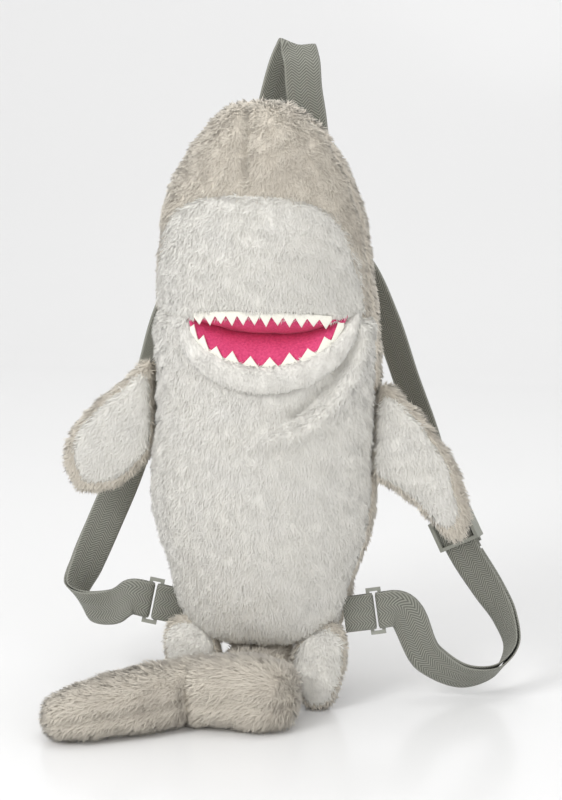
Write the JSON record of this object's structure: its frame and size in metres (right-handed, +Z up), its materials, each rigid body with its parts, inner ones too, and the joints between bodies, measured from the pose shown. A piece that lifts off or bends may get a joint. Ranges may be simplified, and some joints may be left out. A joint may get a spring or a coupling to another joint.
{
  "type": "plush backpack",
  "caption": "Plush shark worn as a backpack: furry grey and white body, open pink mouth with felt teeth, stuffed fins and webbing straps.",
  "frame": {"origin": "on the floor, under the middle of the whole toy's bounding box", "axes": "+Z up through the body to the snout; the belly and mouth face -Y; +X is to the right of someone who looks at the belly"},
  "size_m": [0.397, 0.2322, 0.5399],
  "materials": {
    "grey_fur": "matte",
    "white_fur": "matte",
    "stuffing": "matte",
    "pink_fleece": "matte",
    "cream_felt": "matte",
    "lining_cloth": "matte",
    "grey_webbing": "matte",
    "grey_plastic": "satin",
    "zip_tape": "matte",
    "zip_metal": "satin"
  },
  "bodies": {
    "body": {"back_panel": "grey_fur", "belly_panel": "white_fur", "muzzle_panel": "white_fur", "snout_panel_left": "grey_fur", "snout_panel_right": "grey_fur", "head_stuffing": "stuffing", "belly_stuffing": "stuffing", "compartment_lining": "lining_cloth", "palate_lining": "pink_fleece", "upper_teeth": "cream_felt", "zip_tape_left": "zip_tape", "zip_tape_right": "zip_tape", "zip_coil_left": "grey_plastic", "zip_coil_right": "grey_plastic", "zip_stop_top": "zip_metal", "zip_stop_bottom": "zip_metal", "strap_anchor_patch": "grey_webbing", "left_strap_tab": "grey_webbing", "right_strap_tab": "grey_webbing"},
    "jaw": {"tongue_lining": "pink_fleece", "jaw_lip": "white_fur", "jaw_stuffing": "stuffing", "lower_teeth": "cream_felt"},
    "left_pectoral_fin": {"left_pectoral_underside": "white_fur", "left_pectoral_top": "grey_fur", "left_pectoral_stuffing": "stuffing"},
    "right_pectoral_fin": {"right_pectoral_underside": "white_fur", "right_pectoral_top": "grey_fur", "right_pectoral_stuffing": "stuffing"},
    "left_pelvic_fin": {"left_pelvic_front": "white_fur", "left_pelvic_back": "grey_fur", "left_pelvic_stuffing": "stuffing"},
    "right_pelvic_fin": {"right_pelvic_front": "white_fur", "right_pelvic_back": "grey_fur", "right_pelvic_stuffing": "stuffing"},
    "tail_stem": {"tail_stem_sleeve": "grey_fur", "tail_stem_stuffing": "stuffing"},
    "tail_fin": {"tail_fin_upper": "grey_fur", "tail_fin_lower": "grey_fur", "tail_fin_stuffing": "stuffing"},
    "handle": {"hanging_loop": "grey_webbing"},
    "left_strap": {"left_strap_ring": "grey_plastic", "left_shoulder_strap": "grey_webbing"},
    "right_strap": {"right_strap_ring": "grey_plastic", "right_shoulder_strap": "grey_webbing"},
    "left_glide": {"left_tri_glide": "grey_plastic", "left_strap_end": "grey_webbing"},
    "right_glide": {"right_tri_glide": "grey_plastic", "right_strap_end": "grey_webbing"},
    "zip_slider": {"zip_slider": "zip_metal"},
    "zip_pull": {"zip_pull": "zip_metal"}
  },
  "joints": [
    {"name": "jaw_fold", "type": "hinge", "parent": "body", "child": "jaw", "pos_m": [-0.019, 0.0179, 0.311], "axis": [-1, 0, 0], "range_deg": [0, 18], "stiffness_Nm_per_rad": 1.2},
    {"name": "left_pectoral_flap", "type": "hinge", "parent": "body", "child": "left_pectoral_fin", "pos_m": [-0.1205, 0.0399, 0.246], "axis": [0, 0, 1], "range_deg": [-8, 35], "stiffness_Nm_per_rad": 0.35},
    {"name": "right_pectoral_flap", "type": "hinge", "parent": "body", "child": "right_pectoral_fin", "pos_m": [0.0825, 0.0399, 0.232], "axis": [0, 0, -1], "range_deg": [-8, 35], "stiffness_Nm_per_rad": 0.35},
    {"name": "left_pelvic_flap", "type": "hinge", "parent": "body", "child": "left_pelvic_fin", "pos_m": [-0.076, 0.0199, 0.057], "axis": [-1, 0, 0], "range_deg": [-10, 15], "stiffness_Nm_per_rad": 2},
    {"name": "right_pelvic_flap", "type": "hinge", "parent": "body", "child": "right_pelvic_fin", "pos_m": [0.038, 0.0199, 0.057], "axis": [-1, 0, 0], "range_deg": [-10, 15], "stiffness_Nm_per_rad": 2},
    {"name": "tail_fold", "type": "hinge", "parent": "body", "child": "tail_stem", "pos_m": [-0.019, 0.0469, 0.048], "axis": [1, 0, 0], "range_deg": [-8, 60], "stiffness_Nm_per_rad": 2.5},
    {"name": "tail_fin_wag", "type": "hinge", "parent": "tail_stem", "child": "tail_fin", "pos_m": [-0.019, -0.0121, 0.024], "axis": [0, 0, 1], "range_deg": [-6, 6], "stiffness_Nm_per_rad": 2},
    {"name": "hanging_loop_tilt", "type": "hinge", "parent": "body", "child": "handle", "pos_m": [-0.004, 0.0959, 0.464], "axis": [1, 0, 0], "range_deg": [-75, 5], "stiffness_Nm_per_rad": 0.15},
    {"name": "left_strap_swing", "type": "hinge", "parent": "body", "child": "left_strap", "pos_m": [-0.107, 0.0359, 0.074], "axis": [-0.1602, -0.2254, -0.961], "range_deg": [-2, 16], "stiffness_Nm_per_rad": 0.6},
    {"name": "right_strap_swing", "type": "hinge", "parent": "body", "child": "right_strap", "pos_m": [0.074, 0.0379, 0.076], "axis": [-0.1758, 0.2205, 0.9594], "range_deg": [-2, 16], "stiffness_Nm_per_rad": 0.6},
    {"name": "left_glide_slide", "type": "slide", "parent": "left_strap", "child": "left_glide", "axis": [0.2394, 0.0798, 0.9676], "range_m": [0, 0.015]},
    {"name": "right_glide_slide", "type": "slide", "parent": "right_strap", "child": "right_glide", "axis": [-0.4514, 0.1304, 0.8827], "range_m": [0, 0.015]},
    {"name": "zip_slide", "type": "slide", "parent": "body", "child": "zip_slider", "axis": [0, 0, -1], "range_m": [0, 0.215]},
    {"name": "zip_pull_swing", "type": "hinge", "parent": "zip_slider", "child": "zip_pull", "pos_m": [-0.019, 0.1099, 0.3431], "axis": [1, 0, 0], "range_deg": [0, 100]}
  ]
}
